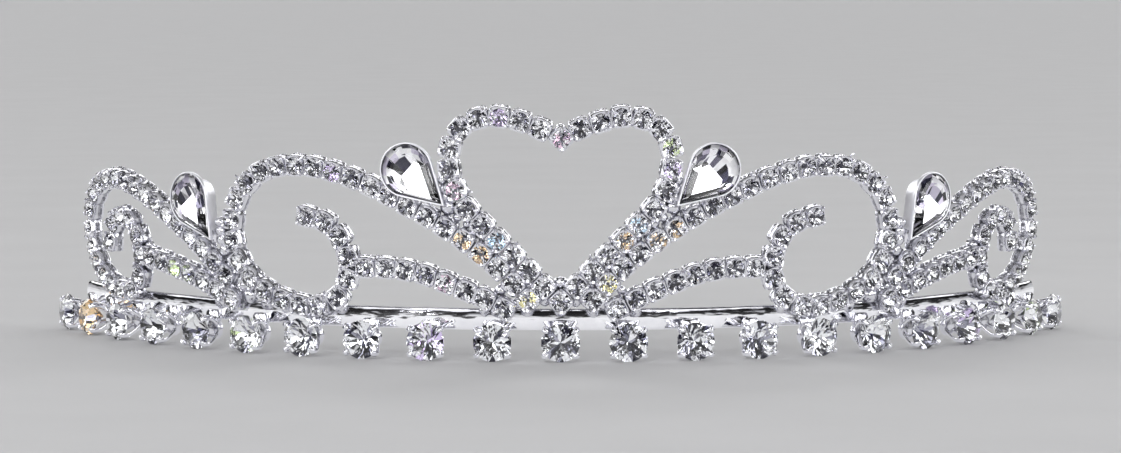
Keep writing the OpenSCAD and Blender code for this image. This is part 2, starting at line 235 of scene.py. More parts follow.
class Shape:
    """Points and faces of one piece, each face with a material's number and a tone."""

    def __init__(self):
        self.points = []
        self.faces = []
        self.kinds = []
        self.tones = []

    def add(self, place, points, faces, kinds, tones):
        start = len(self.points)
        self.points += [place @ Vector(p) for p in points]
        self.faces += [[start + i for i in face] for face in faces]
        self.kinds += kinds
        self.tones += tones

    def loft(self, place, rings, tone=0.0):
        """Joins rings of the same number of points, in order, and closes both ends. The
        tone is one for all, or a list with one for each step from ring to ring."""
        n = len(rings[0])
        last = len(rings) - 1
        steps = tone if isinstance(tone, list) else [tone] * last
        faces = []
        tones = []
        for r, value in enumerate(steps):
            faces += faces_between(r * n, (r + 1) * n, n)
            tones += [value] * n
        faces.append(list(range(n - 1, -1, -1)))
        faces.append([last * n + i for i in range(n)])
        tones += [steps[0], steps[-1]]
        self.add(place, [p for ring in rings for p in ring], faces, [0] * len(faces), tones)

    def wire(self, place, path, radii):
        """A round wire along a path of points, with a radius for each of them."""
        nearly_parallel = 0.95
        path = [Vector(p) for p in path]
        turns = [2 * math.pi * i / WIRE_SIDES for i in range(WIRE_SIDES)]
        side = Vector((0, 0, 1))
        rings = []
        for k, point in enumerate(path):
            along = (path[min(k + 1, len(path) - 1)] - path[max(k - 1, 0)]).normalized()
            if abs(along.dot(side)) > nearly_parallel:
                side = Vector((1, 0, 0))
            across = along.cross(side).normalized()
            side = across.cross(along)
            rings.append([point + (across * math.cos(a) + side * math.sin(a)) * radii[k]
                          for a in turns])
        self.loft(place, rings)

    def bar(self, place, rows, n):
        """A bar with an oval section of n sides. Columns: distance out from the place's
        axis, height, width and thickness."""
        rings = []
        for k, (r, z, width, thickness) in enumerate(rows):
            r0, z0 = rows[max(k - 1, 0)][:2]
            r1, z1 = rows[min(k + 1, len(rows) - 1)][:2]
            length = math.hypot(r1 - r0, z1 - z0)
            nr, nz = (z1 - z0) / length, -(r1 - r0) / length
            ring = []
            for i in range(n):
                a = 2 * math.pi * i / n
                side = width / 2 * math.cos(a)
                off = thickness / 2 * math.sin(a)
                ring.append((r + nr * off, side, z + nz * off))
            rings.append(ring)
        self.loft(place, rings)

    def build(self, name, materials, slot, nodes, smooth_angle=None):
        """Makes the piece that stands for some nodes, smooth at edges under an angle."""
        mesh = bpy.data.meshes.new(name)
        mesh.from_pydata([p * MM for p in self.points], [], self.faces)
        for material in materials:
            mesh.materials.append(material)
        mesh.polygons.foreach_set("material_index", self.kinds)
        tone = mesh.attributes.new("tone", "FLOAT", "FACE")
        tone.data.foreach_set("value", self.tones)
        mesh.update()
        piece = bpy.data.objects.new(name, mesh)
        bpy.context.scene.collection.objects.link(piece)
        if smooth_angle is not None:
            mesh.shade_smooth()
            mesh.set_sharp_from_angle(angle=math.radians(smooth_angle))
        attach(piece, "root")
        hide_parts(*nodes)


def circle(radius, height, n, start=0.0):
    return [(radius * math.cos(math.radians(start + 360 * i / n)),
             radius * math.sin(math.radians(start + 360 * i / n)), height)
            for i in range(n)]


def brilliant(radius, table, crown, girdle, pavilion, ring, low_ring):
    """Points, faces and kinds of a round brilliant with its girdle's underside at z = 0.

    Kind 0 is clear glass and kind 1 is the foiled pavilion. The table and the rings of
    corners are shares of the radius, and the corners' heights keep the main facets flat.
    """
    n = MAIN_FACETS
    turn = 180 / n
    half = math.cos(math.radians(turn))
    ring_z = girdle + crown * (1 - (ring * half - table) / (1 - table))
    low_z = -pavilion * (1 - low_ring * half)
    points = (
        circle(radius * table, girdle + crown, n)
        + circle(radius * ring, ring_z, n, turn)
        + circle(radius, girdle, 2 * n)
        + circle(radius, 0, 2 * n)
        + circle(radius * low_ring, low_z, n, turn)
        + [(0, 0, -pavilion)])
    table_at, ring_at, high_at, girdle_at, low_at, culet = 0, n, 2 * n, 4 * n, 6 * n, 7 * n
    faces = [[table_at + i for i in range(n)]]
    for i in range(n):
        j = (i + 1) % n
        before = (i - 1) % n
        corner = high_at + 2 * i
        faces.append([table_at + i, ring_at + i, table_at + j])
        faces.append([table_at + i, ring_at + before, corner, ring_at + i])
        faces.append([ring_at + i, corner, corner + 1])
        faces.append([ring_at + i, corner + 1, high_at + 2 * j])
    for i in range(2 * n):
        j = (i + 1) % (2 * n)
        faces.append([high_at + i, girdle_at + i, girdle_at + j, high_at + j])
    kinds = [0] * len(faces)
    for i in range(n):
        j = (i + 1) % n
        before = (i - 1) % n
        corner = girdle_at + 2 * i
        faces.append([low_at + i, corner + 1, corner])
        faces.append([low_at + i, girdle_at + 2 * j, corner + 1])
        faces.append([corner, low_at + before, culet, low_at + i])
    kinds += [1] * (len(faces) - len(kinds))
    return points, faces, kinds


# Materials

WHITE = (1.0, 1.0, 1.0)
# Darkest metal colour: painted shade in hollows, under stones and along the band's upper edge, and
# dirt on the solder
SHADE_AND_DIRT_GREY = (0.12, 0.12, 0.14)
BRIGHT_FOIL = (0.97, 0.97, 0.98)
FOIL_PAINTED_DARK = (0.03, 0.03, 0.05)

# Tones of the foil, which paint shade and flash colours on single facets. A facet with tone 0 is
# bright, and a flash's colour starts at its tone
PALE, GREY, DARK = 0.3, 0.5, 0.7
YELLOW, ORANGE, PINK, VIOLET, BLUE, GREEN = 0.8, 0.83, 0.86, 0.89, 0.92, 0.95
PAINTED_FLASH_COLOURS = {
    YELLOW: (1.0, 0.94, 0.5), ORANGE: (1.0, 0.76, 0.48), PINK: (1.0, 0.74, 0.88),
    VIOLET: (0.85, 0.72, 1.0), BLUE: (0.65, 0.85, 1.0), GREEN: (0.85, 1.0, 0.56)}
# How far past its start a flash's tone lies
FLASH_INSIDE = 0.01


def new_material(name):
    material = bpy.data.materials.new(name)
    material.use_nodes = True
    tree = material.node_tree
    return material, tree, tree.nodes["Principled BSDF"]


def noise(tree, scale, detail=3.0, roughness=0.5, stretch=(1, 1, 1)):
    """A noise pattern in the piece's own metres; the scale is in cycles per metre."""
    coords = tree.nodes.new("ShaderNodeTexCoord")
    mapping = tree.nodes.new("ShaderNodeMapping")
    mapping.inputs["Scale"].default_value = stretch
    texture = tree.nodes.new("ShaderNodeTexNoise")
    texture.inputs["Scale"].default_value = scale
    texture.inputs["Detail"].default_value = detail
    texture.inputs["Roughness"].default_value = roughness
    tree.links.new(coords.outputs["Object"], mapping.inputs["Vector"])
    tree.links.new(mapping.outputs["Vector"], texture.inputs["Vector"])
    return texture.outputs["Fac"]


def ramp(tree, source, stops, constant=False):
    node = tree.nodes.new("ShaderNodeValToRGB")
    if constant:
        node.color_ramp.interpolation = "CONSTANT"
    elements = node.color_ramp.elements
    while len(elements) < len(stops):
        elements.new(0.5)
    for element, (position, colour) in zip(elements, stops):
        element.position = position
        element.color = (*colour, 1)
    tree.links.new(source, node.inputs["Fac"])
    return node.outputs["Color"]


def patches(tree, scale, first, second, detail=3.0):
    """Soft patches of two colours."""
    return ramp(tree, noise(tree, scale, detail), [(0.3, first), (0.7, second)])


def spread(tree, source, low, high, start=0.0, end=1.0):
    """Maps a pattern from start..end to low..high."""
    node = tree.nodes.new("ShaderNodeMapRange")
    node.inputs["From Min"].default_value = start
    node.inputs["From Max"].default_value = end
    node.inputs["To Min"].default_value = low
    node.inputs["To Max"].default_value = high
    tree.links.new(source, node.inputs["Value"])
    return node.outputs["Result"]


def face_tone(tree):
    node = tree.nodes.new("ShaderNodeAttribute")
    node.attribute_name = "tone"
    return node.outputs["Fac"]


def multiply(tree, first, second):
    node = tree.nodes.new("ShaderNodeMix")
    node.data_type = "RGBA"
    node.blend_type = "MULTIPLY"
    node.inputs["Factor"].default_value = 1
    tree.links.new(first, node.inputs[6])
    tree.links.new(second, node.inputs[7])
    return node.outputs[2]


def bump(tree, source, distance):
    node = tree.nodes.new("ShaderNodeBump")
    node.inputs["Strength"].default_value = 0.5
    node.inputs["Distance"].default_value = distance
    tree.links.new(source, node.inputs["Height"])
    return node.outputs["Normal"]


def metal_material(name, rough, grain, relief, waves=0.0, streaks=0.0,
                   dull=(0.66, 0.66, 0.71), pale=(0.78, 0.78, 0.82)):
    """Bright rhodium-coloured plating with dull and pale patches.

    Rough is the least and the most roughness, grain is in cycles per metre, and relief is
    the grain's height in metres. Waves and streaks are the heights of slow ripples and of
    flat streaks in the polish. A face's tone is how much it is darkened: painted shade in
    hollows, under stones and along the band's upper edge, and dirt on the solder.
    """
    material, tree, shader = new_material(name)
    shader.inputs["Metallic"].default_value = 1
    stain = patches(tree, scale=260, first=dull, second=pale)
    # Painted shade, and dirt on the solder, darken a face by its tone
    shade_and_dirt = ramp(tree, face_tone(tree), [(0, WHITE), (1, SHADE_AND_DIRT_GREY)])
    tree.links.new(multiply(tree, stain, shade_and_dirt), shader.inputs["Base Color"])
    pattern = noise(tree, grain, detail=4, roughness=0.6)
    tree.links.new(spread(tree, pattern, *rough), shader.inputs["Roughness"])
    fine = bump(tree, pattern, relief)
    if waves:
        slow = bump(tree, noise(tree, scale=160, detail=2, stretch=(1, 1, 2.5)), waves)
        flat = bump(tree, noise(tree, scale=280, detail=2, stretch=(1, 1, 4)), streaks)
        tree.links.new(slow, flat.node.inputs["Normal"])
        tree.links.new(flat, fine.node.inputs["Normal"])
    tree.links.new(fine, shader.inputs["Normal"])
    return material


def glass_material(name, tint):
    """Clear cut glass with faint polishing marks."""
    material, tree, shader = new_material(name)
    shader.inputs["IOR"].default_value = 1.6
    shader.inputs["Transmission Weight"].default_value = 1
    haze = patches(tree, scale=900, first=tint, second=WHITE)
    tree.links.new(haze, shader.inputs["Base Color"])
    polish = noise(tree, scale=2500, detail=2)
    tree.links.new(spread(tree, polish, low=0.0, high=0.04), shader.inputs["Roughness"])
    return material


def foil_material(name, pale, grey, rough=0.02):
    """Silver foil behind a stone, with painted shade and painted flashes on single facets. A
    facet's tone makes it bright, or paints it pale, grey, dark or the colour of a flash.
    Rough is the least roughness."""
    rough_spread = 0.08
    pale_from, grey_from, dark_from = 0.2, 0.4, 0.6
    material, tree, shader = new_material(name)
    shader.inputs["Metallic"].default_value = 1
    painted_facets = ramp(tree, face_tone(tree), [
        (0.0, BRIGHT_FOIL), (pale_from, pale), (grey_from, grey), (dark_from, FOIL_PAINTED_DARK),
        *PAINTED_FLASH_COLOURS.items()], constant=True)
    tree.links.new(painted_facets, shader.inputs["Base Color"])
    wear = noise(tree, scale=1800)
    tree.links.new(spread(tree, wear, rough, rough + rough_spread), shader.inputs["Roughness"])
    return material


band_metal = metal_material("band_metal", rough=(0.04, 0.13), grain=900, relief=0.000012,
                            waves=0.0003, streaks=0.00008,
                            dull=(0.82, 0.82, 0.86), pale=(0.95, 0.95, 0.98))
cup_metal = metal_material("cup_metal", rough=(0.12, 0.3), grain=2600, relief=0.00003)
setting_metal = metal_material("setting_metal", rough=(0.08, 0.24), grain=1800, relief=0.00003)
small_glass = glass_material("small_glass", tint=(0.96, 0.97, 1.0))
large_glass = glass_material("large_glass", tint=(0.95, 0.97, 1.0))
pear_glass = glass_material("pear_glass", tint=(0.96, 0.96, 1.0))
# The foils' pale, grey and dark facets are painted shade
foil = foil_material("stone_foil", pale=(0.7, 0.7, 0.76), grey=(0.4, 0.4, 0.47))
pear_foil = foil_material("pear_foil", pale=(0.2, 0.19, 0.25), grey=(0.08, 0.08, 0.11))
satin_foil = foil_material("satin_foil", pale=(0.62, 0.58, 0.7), grey=(0.3, 0.29, 0.36),
                           rough=0.28)
rim_metal = metal_material("rim_metal", rough=(0.34, 0.48), grain=1500, relief=0.00002,
                           dull=(0.8, 0.8, 0.85), pale=(0.92, 0.92, 0.96))


# Head band

# Radius of the long edges, bulge of the wide faces, and length of the quarter ellipse that
# rounds an end
BAND_EDGE = 0.28
BAND_BULGE = 0.07
BAND_END = 1.3
# Share of the band's height that is left at its very end
BAND_END_SHARE = 0.3
# Steps along the band between its rounded ends, and along each of those
BAND_STEPS = 160
BAND_END_STEPS = 6
# Angles of the points on a long edge, and places of those on a wide face as shares
EDGE_TURNS = (0, 30, 60, 90)
FACE_SHARES = (0.75, 0.5, 0.25, 0, -0.25, -0.5, -0.75)
# Painted shade on the section's faces at the outer upper edge, which greys their highlight:
# number, counted from the last one if negative, and how much shade
BAND_PAINTED_SHADE = [(0, 0.6), (1, 0.5), (2, 0.5), (-1, 0.75), (-2, 0.6), (-3, 0.2)]


def band_section():
    """Points (out, up) from the middle of the section: over the top from the outer upper
    edge, down the inside, and up the outside."""
    flat = BAND_H / 2 - BAND_EDGE
    section = []
    for sx, sz, start in ((1, 1, 0), (-1, 1, 90), (-1, -1, 180), (1, -1, 270)):
        for turn in EDGE_TURNS:
            a = math.radians(start + turn)
            section.append((sx * (BAND_T / 2 - BAND_EDGE - BAND_BULGE) + BAND_EDGE * math.cos(a),
                            sz * flat + BAND_EDGE * math.sin(a)))
        if sx * sz < 0:
            for t in FACE_SHARES:
                section.append((sx * (BAND_T / 2 - BAND_BULGE + BAND_BULGE * (1 - t * t)),
                                sz * flat * t))
    return section


def band():
    """A polished strip with rounded edges and ends, an arc open at the back."""
    shape = Shape()
    middle_r = BAND_R - BAND_T / 2
    middle_z = BAND_Z + BAND_H / 2
    section = band_section()
    end_turns = [math.radians(90 / BAND_END_STEPS * k) for k in range(BAND_END_STEPS)]
    turns = [math.radians(BAND_HALF_TURN) - BAND_END * (1 - math.cos(a)) / middle_r
             for a in end_turns]
    heights = [BAND_END_SHARE + (1 - BAND_END_SHARE) * math.sin(a) for a in end_turns]
    middle = [turns[-1] * (1 - 2 * k / BAND_STEPS) for k in range(1, BAND_STEPS)]
    rings = []
    for angle, share in zip([-t for t in turns] + middle[::-1] + turns[::-1],
                            heights + [1.0] * len(middle) + heights[::-1]):
        rings.append([
            ((middle_r + x) * math.sin(angle), CENTRE_Y - (middle_r + x) * math.cos(angle),
             middle_z + z * share) for x, z in section])
    shape.loft(Matrix.Identity(4), rings)
    n = len(section)
    # Painted shade along the outer upper edge greys its highlight
    for first in range(0, n * (len(rings) - 1), n):
        for k, painted_shade in BAND_PAINTED_SHADE:
            shape.tones[first + k % n] = painted_shade
    shape.build("head_band", [band_metal], "metal", ["frame"], smooth_angle=40)


# Settings of the large stones

CLAW_SIDES = 10
FOOT_SIDES = 24
# One claw: distance out from the stone's axis, height, width, thickness
CLAW = [
    (0.8, 0.0, 1.0, 0.7), (1.5, 0.85, 0.9, 0.55), (2.25, 1.9, 0.8, 0.46),
    (2.8, 2.9, 0.78, 0.44), (2.93, 3.5, 0.82, 0.46), (2.82, 3.98, 0.82, 0.46),
    (2.5, 4.22, 0.7, 0.4), (2.2, 4.12, 0.3, 0.22)]
# Round foot of a setting: radius, height
FOOT = [(1.5, -SUNK), (1.5, 0.3), (1.38, 0.44), (1.1, 0.5), (0.2, 0.5)]
# Tab that joins a setting to the band: distance up from the stone's axis, half width, height
TAB = [(0, 1.2, 0.5), (1.4, 1.2, 0.5), (2.3, 1.15, 0.46), (2.65, 0.9, 0.3)]
# Where the tab's sides start to slope, and its top's width, as shares
TAB_SIDE = 0.6
TAB_TOP = 0.85


def tab_section(y, half, top):
    """One section of a tab: a flat back, upright sides and bevelled edges."""
    return [(-half, y, -SUNK), (half, y, -SUNK), (half, y, top * TAB_SIDE),
            (half * TAB_TOP, y, top), (-half * TAB_TOP, y, top), (-half, y, top * TAB_SIDE)]


def settings():
    """A foot, a tab and four claws for each large stone."""
    shape = Shape()
    for i in range(1, BASE_COUNT + 1):
        place = at_base_stone(i)
        shape.loft(place, [circle(r, z, FOOT_SIDES) for r, z in FOOT])
        shape.loft(place, [tab_section(*row) for row in TAB])
        for side in (0, 180):
            for tilt in (-CLAW_ANGLE, CLAW_ANGLE):
                shape.bar(place @ spin(side + tilt, "Z"), CLAW, CLAW_SIDES)
    shape.build("stone_settings", [setting_metal], "metal", ["frame"], smooth_angle=50)


# Cup chains

CUP_POINTS = 24
# How far the middles of a cup's sides lie below its corners at the rim, and how far they
# are pressed in below that
CUP_DIP = 0.2
CUP_HOLLOW = 0.3
# Outside of a cup, from its back up: share of its size, height, dip, hollow
CUP_OUTSIDE = [
    (0.8, -SUNK, 0, 0), (0.94, -SUNK + 0.06, 0, 0), (1.0, -SUNK + 0.2, 0, 0),
    (1.0, 0.12, 0, 0), (0.98, 0.2, 0, CUP_HOLLOW), (0.98, 0.62, 0, CUP_HOLLOW),
    (1.0, 0.74, 0, 0), (1.0, CUP_RIM - 0.12, CUP_DIP, 0), (0.955, CUP_RIM, CUP_DIP, 0)]
# Inside of a cup, from its rim down: radius, height, dip
CUP_INSIDE = [(1.26, CUP_RIM - 0.02, CUP_DIP), (1.24, CHAIN_GIRDLE - 0.3, 0), (0.6, 0.6, 0)]
# Painted shade on a cup, in the hollows of its sides and darkest inside under the stone, for
# each step from its back over the rim to the bottom of its inside
CUP_PAINTED_SHADE = [0.0, 0.0, 0.0, 0.2, 0.5, 0.2, 0.0, 0.0, 0.0, 0.75, 1.0]
# How far a cup leans forwards where its chain runs level, and the most that its roll about
# the chain and its pitch along it vary
CUP_ROLL = 11.0
ROLL_JITTER = 4
PITCH_JITTER = 3
PRONG_SIDES = 6
# Prong at a cup's corner: distance out from the cup's axis, height, width, thickness
PRONG = [
    (1.62, CUP_RIM - 0.4, 0.55, 0.3), (1.6, CUP_RIM + 0.05, 0.5, 0.3),
    (1.4, CUP_RIM + 0.3, 0.42, 0.26), (1.08, CUP_RIM + 0.24, 0.2, 0.14)]
# The last rows of a prong lean in or out by up to this much
PRONG_LEAN = 0.06
# Share of the cups that have a wire's end, and the height above which none has
TIP_SHARE = 0.2
TIP_TOP = 30.5
TIP_RADII = [0.13, 0.13, 0.13, 0.14, 0.1]
# Half width and half thickness of the bar behind two cups, and how far out its middle is
LINK_HALF_W = 0.52
LINK_HALF_T = 0.3
LINK_OUT = 0.02
# Ends of that bar: share of the length from its middle, share of the section
LINK_ENDS = [(-0.5, 0.7), (-0.46, 1), (0.46, 1), (0.5, 0.7)]
LINK_SIDES = 8

# About how many facets lie from one facet with painted grey or dark shade on the foil to the next
GREY_EVERY = 7
SMALL_DARK_EVERY = 4
SMALL_FLASH_DARK_EVERY = 8
LARGE_DARK_EVERY = 6

# Small stones with a flash colour painted on their foil: along, height, colour
SPARKS = [
    (16, 27.5, GREEN), (15.5, 24.5, VIOLET), (-15, 21.5, PINK), (-32.5, 25.5, VIOLET),
    (15.4, 17.7, ORANGE), (13, 16, ORANGE), (-13, 16, ORANGE), (10.4, 18.1, BLUE),
    (-7.7, 15.2, BLUE), (7.8, 14.9, ORANGE), (-10.6, 14.3, ORANGE), (0, 29.7, PINK),
    (-7, 32.3, VIOLET), (-59, 9.9, GREEN), (-56, 10, GREEN), (-15.3, 10.2, PINK),
    (6, 9.6, YELLOW), (-4.2, 8.1, YELLOW)]


def cup_outline(scale, height, dip, hollow):
    """A square with round corners; dip lowers the middles of its sides, hollow sinks them."""
    squareness = 5
    ring = []
    for i in range(CUP_POINTS):
        a = 2 * math.pi * i / CUP_POINTS
        c, s = math.cos(a), math.sin(a)
        r = ((abs(c) / (CUP_L / 2)) ** squareness
             + (abs(s) / (CUP_W / 2)) ** squareness) ** (-1 / squareness)
        middle = max(0.0, math.cos(4 * a)) ** 0.5
        z = height - dip * math.cos(2 * a) ** 2
        r = r * scale - hollow * middle
        ring.append((r * c, r * s, z))
    return ring


def cup_circle(radius, height, dip):
    return [(x, y, z - dip * math.cos(4 * math.pi * i / CUP_POINTS) ** 2)
            for i, (x, y, z) in enumerate(circle(radius, height, CUP_POINTS))]


def cup_place(along, height, direction, jitter):
    """A cup's place, rolled so that its upper side shows a little, as soldered chain sits."""
    roll = (CUP_ROLL * math.cos(math.radians(direction))
            + jitter.uniform(-ROLL_JITTER, ROLL_JITTER))
    pitch = jitter.uniform(-PITCH_JITTER, PITCH_JITTER)
    return on_wall(along, height, direction) @ spin(roll, "X") @ spin(pitch, "Y")


def add_cup(shape, place, jitter):
    """A cup with a prong at each corner."""
    rings = [cup_outline(*row) for row in CUP_OUTSIDE]
    rings += [cup_circle(*row) for row in CUP_INSIDE]
    # The hollows of the sides and the inside get painted shade
    shape.loft(place, rings, CUP_PAINTED_SHADE)
    corner = math.degrees(math.atan2(CUP_W, CUP_L))
    for angle in (corner, 180 - corner, 180 + corner, -corner):
        lean = jitter.uniform(-PRONG_LEAN, PRONG_LEAN)
        rows = PRONG[:2] + [(out + lean, *row) for out, *row in PRONG[2:]]
        shape.bar(place @ spin(angle, "Z"), rows, PRONG_SIDES)


def add_tip(shape, place, jitter):
    """The end of a binding wire, curled out past a cup's upper corner."""
    x = jitter.choice((-1, 1)) * jitter.uniform(0.7, 1.1)
    out = jitter.uniform(0.25, 0.5)
    path = [(x, 0.9, 0.5), (x, CUP_W / 2 + 0.05, 0.7), (x * 1.05, CUP_W / 2 + out * 0.7, 0.9),
            (x * 1.15 + 0.1, CUP_W / 2 + out, 1.05), (x * 1.15 + 0.22, CUP_W / 2 + out, 1.1)]
    shape.wire(place, path, TIP_RADII)


def add_link(shape, start, end):
    """A round-backed bar behind two neighbouring cups."""
    across = (end[0] - start[0], end[1] - start[1])
    length = math.hypot(*across)
    place = on_wall((start[0] + end[0]) / 2, (start[1] + end[1]) / 2,
                    math.degrees(math.atan2(across[1], across[0])))
    turns = [math.radians(360 / LINK_SIDES * i) for i in range(LINK_SIDES)]
    rings = [[(x * length, LINK_HALF_W * size * math.cos(a),
               LINK_OUT + LINK_HALF_T * size * math.sin(a)) for a in turns]
             for x, size in LINK_ENDS]
    shape.loft(place, rings)


def facet_tones(kinds, jitter, dark_every, flash=None, run=6):
    """Tones of a stone's faces. Facets with painted dark and grey shade lie spread over the
    foil, and the rest are bright. On a stone that flashes, a run of neighbouring facets has
    its colour painted on."""
    count = kinds.count(1)
    first = jitter.randrange(count)
    tones = [0.0] * count
    for value, every in ((GREY, GREY_EVERY), (DARK, dark_every)):
        for k in range(0, count, every):
            tones[(first + k + jitter.choice((-1, 0, 0, 1))) % count] = value
    if flash:
        at = jitter.randrange(count - run)
        tones[at:at + run] = [flash + FLASH_INSIDE] * run
    return [0.0] * (len(kinds) - count) + tones


def flash_at(along, height):
    """The flash colour painted on the foil of the small stone at a place, if any."""
    for spark_along, spark_height, colour in SPARKS:
        if math.dist((along, height), (spark_along, spark_height)) < CHAIN_PITCH / 2:
            return colour
    return None


def chain_pieces():
    """The cups and the stones of each chain, as two pieces."""
    cut, faces, kinds = brilliant(
        CHAIN_STONE_R, table=0.54, crown=CHAIN_CROWN, girdle=0.06, pavilion=CHAIN_PAVILION,
        ring=0.8, low_ring=0.35)
    for name, parts in chains().items():
        jitter = random.Random("chain " + name)
        cups, stones = Shape(), Shape()
        for places in parts:
            for along, height, direction in places:
                place = cup_place(along, height, direction, jitter)
                add_cup(cups, place, jitter)
                if jitter.random() < TIP_SHARE and height < TIP_TOP:
                    upright = 0 if math.cos(math.radians(direction)) > 0 else 180
                    add_tip(cups, place @ spin(upright, "Z"), jitter)
                seat = place @ Matrix.Translation((0, 0, CHAIN_GIRDLE)) @ spin(
                    jitter.uniform(0, 45), "Z")
                # A painted flash colour on the stone's foil
                flash = flash_at(along, height)
                dark_every = SMALL_FLASH_DARK_EVERY if flash else SMALL_DARK_EVERY
                stones.add(seat, cut, faces, kinds,
                           facet_tones(kinds, jitter, dark_every, flash))
            follow = places[1:] + (places[:1] if name == "heart" else [])
            for start, end in zip(places, follow):
                add_link(cups, start, end)
        node = "heart_stones" if name == "heart" else name.replace("_", "_stones_")
        cups.build("cups_" + name, [cup_metal], "metal", ["frame"], smooth_angle=45)
        stones.build("stones_" + name, [small_glass, foil], "small_stone", [node])


# Pear stones and rims

# Steps around the round end of a rim and of a stone
PEAR_RIM_STEPS = 22
PEAR_STONE_STEPS = 11
# Points on a rim's straight side, as shares of the way from its tip to its round end
PEAR_SIDE_SHARES = (0.04, 0.35, 0.7)
# A rim's outside from its foot up, and its inside down: grown out by, height
PEAR_RIM_PROFILE = [
    (-PEAR_FOOT_IN - 0.15, -SUNK), (-PEAR_FOOT_IN, -SUNK + 0.1),
    (-PEAR_WAIST_IN, PEAR_WAIST), (PEAR_RIM - 0.04, PEAR_SHOULDER - 0.02),
    (PEAR_RIM, PEAR_SHOULDER + 0.06), (PEAR_RIM, PEAR_BEZEL_H - 0.1),
    (PEAR_RIM - 0.05, PEAR_BEZEL_H - 0.02), (PEAR_RIM - 0.11, PEAR_BEZEL_H),
    (0.02, PEAR_BEZEL_H - 0.04), (-0.02, PEAR_BEZEL_H - 0.1),
    (0.03, PEAR_GIRDLE), (-0.3, PEAR_GIRDLE - 0.62), (-1.2, PEAR_GIRDLE - 1.3),
    (-2.4, PEAR_GIRDLE - 1.5)]
# Painted shade inside a rim, darker deeper down under the stone, for each step of its profile
PEAR_RIM_PAINTED_SHADE = [0.0] * 8 + [0.4, 0.9, 1.0, 1.0, 1.0]
# A stone's girdle and crown: radius of the round end, tip, middle of the round end, height
PEAR_CROWN_RINGS = [
    (PEAR_R, PEAR_TIP, 0, 0), (PEAR_R, PEAR_TIP, 0, PEAR_GIRDLE_H),
    (2.85, 5.75, 0.05, PEAR_GIRDLE_H + 0.5), (2.2, 4.8, 0.2, PEAR_GIRDLE_H + PEAR_CROWN)]
# A stone's stepped back: the same columns as far as the height, then the place where the
# round end is cut flat, and how much the ring leans
UNCUT = -9
PEAR_BACK_RINGS = [
    (3.15, 6.4, 0, -0.45, UNCUT, 0), (2.75, 6.15, 0.25, -0.36, UNCUT, 0.05),
    (2.35, 5.9, 0.6, -0.3, UNCUT, 0.08), (2.0, 5.7, 1.1, -0.35, 0.1, 0.11)]
# Where along the stone a leaning ring keeps its height
LEAN_FROM = 2
# Share of the facets behind the round end that are satin
SATIN_SHARE = 0.7


def round_end(radius, middle, start, steps):
    """Points on the round end of a pear, an arc about (middle, 0) from an angle around."""
    turns = [math.radians(start + (360 - 2 * start) * i / steps) for i in range(steps + 1)]
    return [(middle + radius * math.cos(a), radius * math.sin(a)) for a in turns]


def pear_outline(grow):
    """Outline of a pear whose tip points along x, grown outwards all round."""
    radius = PEAR_R + grow
    tip = PEAR_TIP * radius / PEAR_R
    start = math.degrees(math.acos(PEAR_R / PEAR_TIP))
    points = round_end(radius, 0, start, PEAR_RIM_STEPS)
    x, y = points[0]
    sides = [(tip + (x - tip) * t, y * t) for t in PEAR_SIDE_SHARES]
    return [(px, -py) for px, py in sides[::-1]] + [(tip, 0)] + sides + points


def pear_facets(radius, tip, middle):
    """Corners of a ring of facets, with a round end about (middle, 0) and a tip."""
    start = math.degrees(math.acos(radius / (tip - middle)))
    return round_end(radius, middle, start, PEAR_STONE_STEPS) + [(tip, 0)]


def pear_pieces():
    """The four rims as one piece, and each stone."""
    rims = Shape()
    for side, sign in (("right", 1), ("left", -1)):
        for name, (along, height, turn) in PEARS.items():
            direction = turn if sign > 0 else 180 - turn
            place = on_wall(sign * along, height, direction)
            rings = [[(x, y, z) for x, y in pear_outline(grow)] for grow, z in PEAR_RIM_PROFILE]
            # The inside of the rim under the stone gets painted shade
            rims.loft(place, rings, PEAR_RIM_PAINTED_SHADE)
            pear_stone(name, side, place, direction)
    rims.build("pear_rims", [rim_metal], "metal", ["frame"], smooth_angle=45)


def pear_stone(name, side, place, turn):
    """A step-cut pear. Its back facet leans a little, so that it mirrors the soft boxes."""
    jitter = random.Random("pear " + name + side)
    stone = Shape()
    up = (math.sin(math.radians(turn)), math.cos(math.radians(turn)))
    rings = [[(x, y, PEAR_GIRDLE + z) for x, y in pear_facets(r, tip, middle)]
             for r, tip, middle, z in PEAR_CROWN_RINGS]
    n = len(rings[0])
    points = [p for ring in rings for p in ring]
    faces = []
    for r in range(len(rings) - 1):
        faces += faces_between(r * n, (r + 1) * n, n)
    faces.append([(len(rings) - 1) * n + i for i in range(n)])
    kinds = [0] * len(faces)
    levels = [0]
    for r, tip, middle, z, flat, lean in PEAR_BACK_RINGS:
        levels.append(len(points))
        for x, y in pear_facets(r, tip, middle):
            rise = lean * ((x - LEAN_FROM) * up[0] + y * up[1])
            points.append((max(x, flat), y, PEAR_GIRDLE + z - rise))
    for upper, lower in zip(levels, levels[1:]):
        for i in range(n):
            j = (i + 1) % n
            faces.append([upper + j, upper + i, lower + i, lower + j])
    # Painted pale and dark shade on single facets of the back
    tones = [0.0] * len(kinds)
    for i in range(len(faces) - len(kinds)):
        at_round_end = 1 < i % n < n - 3
        tones.append(jitter.choice((0.0, 0.0, PALE, DARK) if at_round_end else (0.0, 0.0, PALE)))
        kinds.append(2 if at_round_end and jitter.random() < SATIN_SHARE else 1)
    faces.append([levels[-1] + i for i in range(n - 1, -1, -1)])
    tones.append(0.0)
    kinds.append(1)
    stone.add(place, points, faces, kinds, tones)
    stone.build(f"pear_{name}_{side}_cut", [pear_glass, pear_foil, satin_foil], "pear_stone",
                [f"pear_{name}_{side}"])


# Large stones

